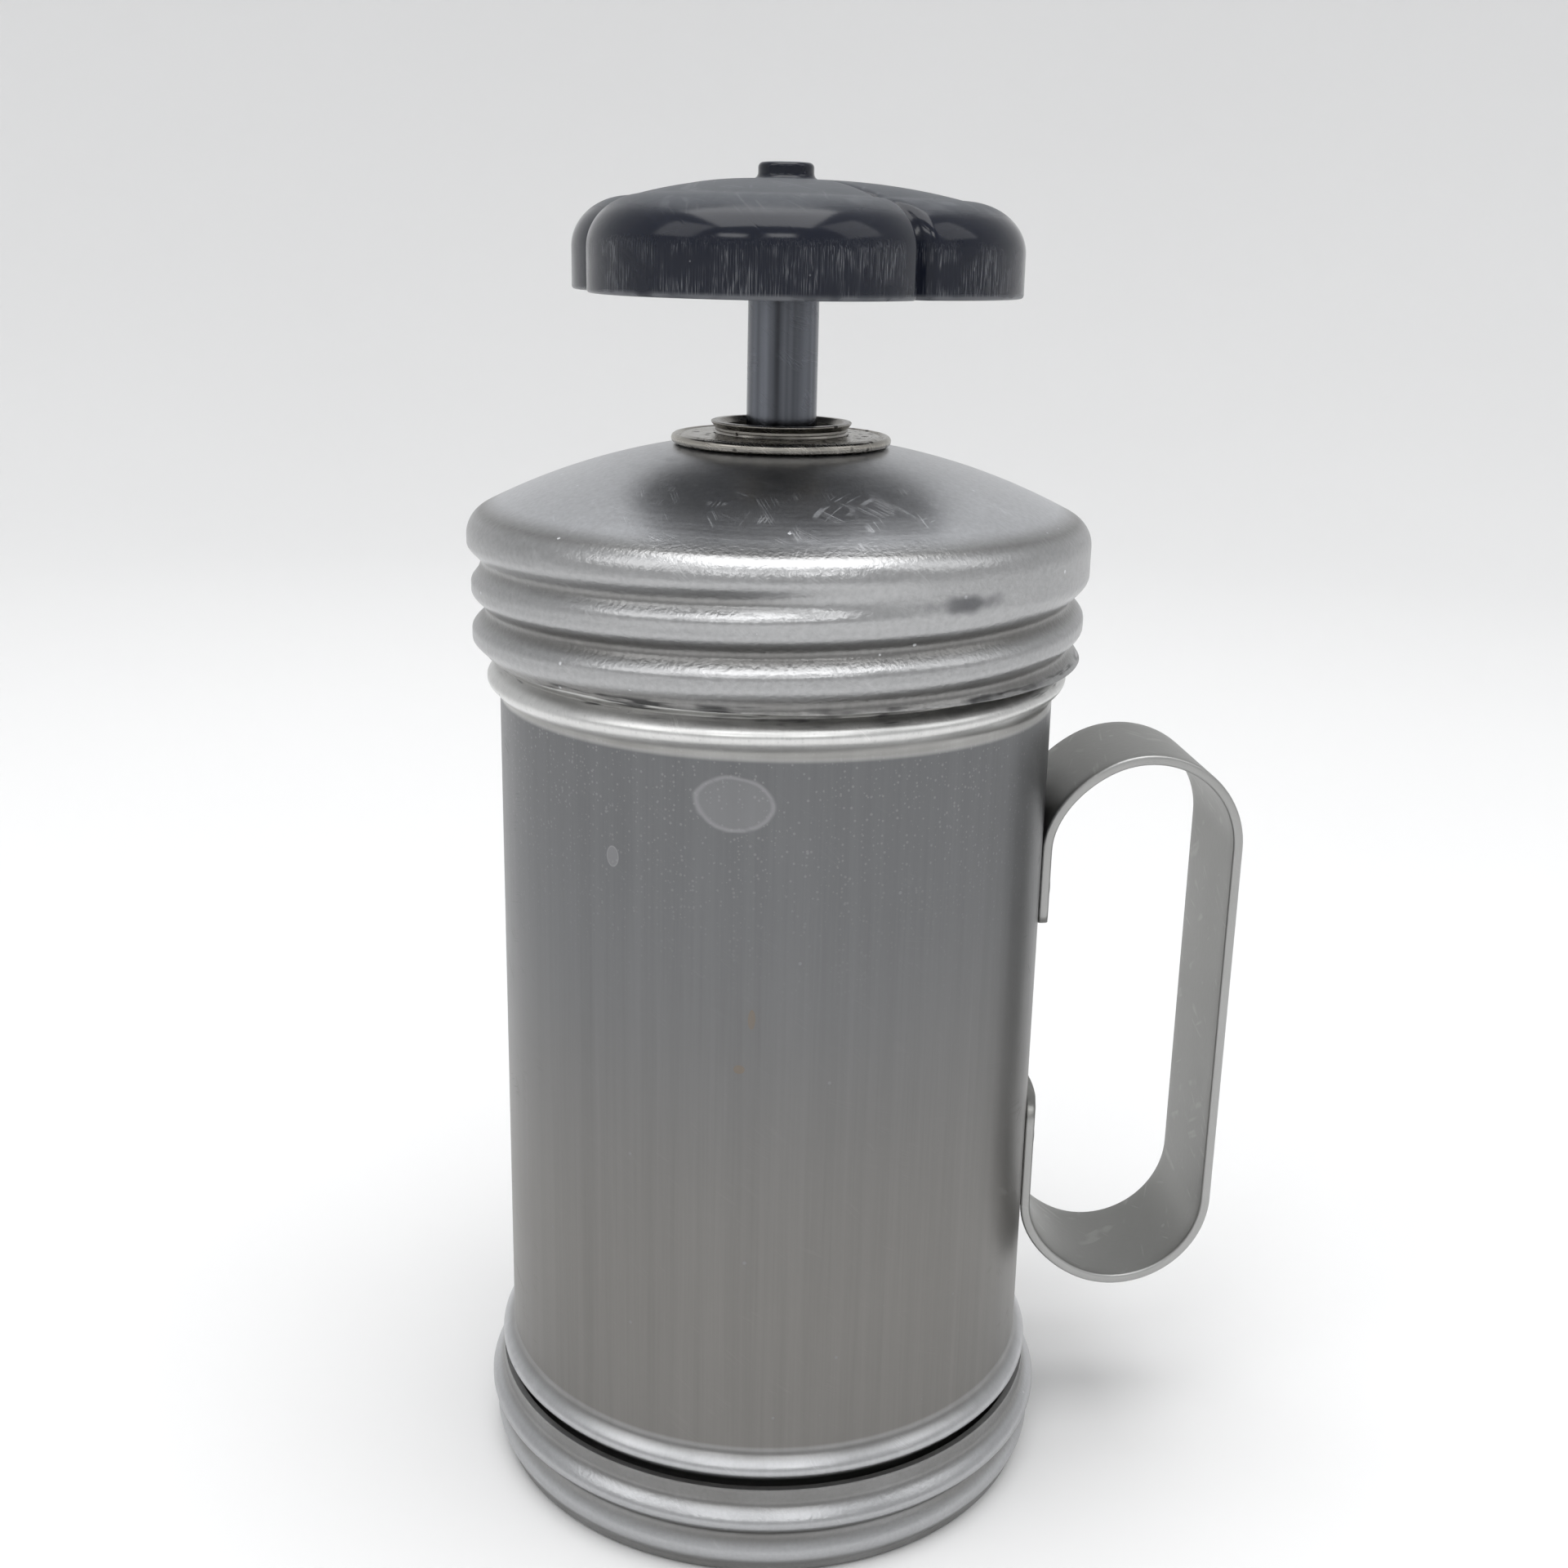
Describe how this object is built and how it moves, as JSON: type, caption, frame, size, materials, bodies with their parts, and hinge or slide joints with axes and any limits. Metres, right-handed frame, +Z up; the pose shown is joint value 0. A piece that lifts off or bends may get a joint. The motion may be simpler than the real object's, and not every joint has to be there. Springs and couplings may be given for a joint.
{
  "type": "screw food press",
  "caption": "Hand-cranked screw press: aluminium barrel with a strap handle, screw cap with a lobed knob on a threaded spindle, piston, and a screw ring with a forming disc.",
  "frame": {"origin": "centre of the screw ring's underside, on the surface that the press stands on", "axes": "+Z up along the barrel and spindle, +X towards the handle"},
  "size_m": [0.092, 0.0718, 0.1571],
  "materials": {
    "barrel": "satin, vertical drawn grain",
    "strap": "satin grey",
    "cap": "spun satin",
    "nickel": "worn nickel",
    "dark_nickel": "tarnished",
    "washer": "zinc plated",
    "spindle": "drawn bright steel",
    "knob": "glossy moulded black, worn",
    "bush": "machined",
    "piston": "pressed satin",
    "clip": "phosphated spring steel",
    "ring": "spun satin",
    "disc": "stamped"
  },
  "bodies": {
    "barrel": {"barrel": "barrel", "handle_strap": "strap"},
    "flange": {"cap_flange": "nickel"},
    "cap": {"cap_shell": "cap", "spindle_nut": "dark_nickel", "backing_washer": "washer"},
    "piston": {"piston": "piston", "piston_washer": "washer"},
    "spindle": {"spindle": "spindle", "knob": "knob", "knob_bush": "bush", "piston_clip": "clip"},
    "disc": {"forming_disc": "disc"},
    "ring": {"base_ring": "ring"}
  },
  "joints": [
    {"name": "cap_lift", "type": "slide", "parent": "barrel", "child": "flange", "axis": [0, 0, 1], "range_m": [0, 0.0135]},
    {"name": "cap_turn", "type": "hinge", "parent": "flange", "child": "cap", "pos_m": [0, 0, 0.125], "axis": [0, 0, 1], "range_deg": [0, 900]},
    {"name": "piston_travel", "type": "slide", "parent": "cap", "child": "piston", "axis": [0, 0, 1], "range_m": [-0.007, 0.094]},
    {"name": "knob_turn", "type": "hinge", "parent": "piston", "child": "spindle", "pos_m": [0, 0, 0.1], "axis": [0, 0, 1], "range_deg": [-630, 8460]},
    {"name": "disc_drop", "type": "slide", "parent": "barrel", "child": "disc", "axis": [0, 0, -1], "range_m": [0, 0.0108]},
    {"name": "ring_turn", "type": "hinge", "parent": "disc", "child": "ring", "pos_m": [0, 0, 0.005], "axis": [0, 0, 1], "range_deg": [-720, 0]}
  ],
  "couplings": [
    {"joint": "cap_turn", "follows": "cap_lift", "rad_per_m": 1163.6},
    {"joint": "knob_turn", "follows": "piston_travel", "rad_per_m": 1570.8},
    {"joint": "ring_turn", "follows": "disc_drop", "rad_per_m": -1163.6}
  ]
}
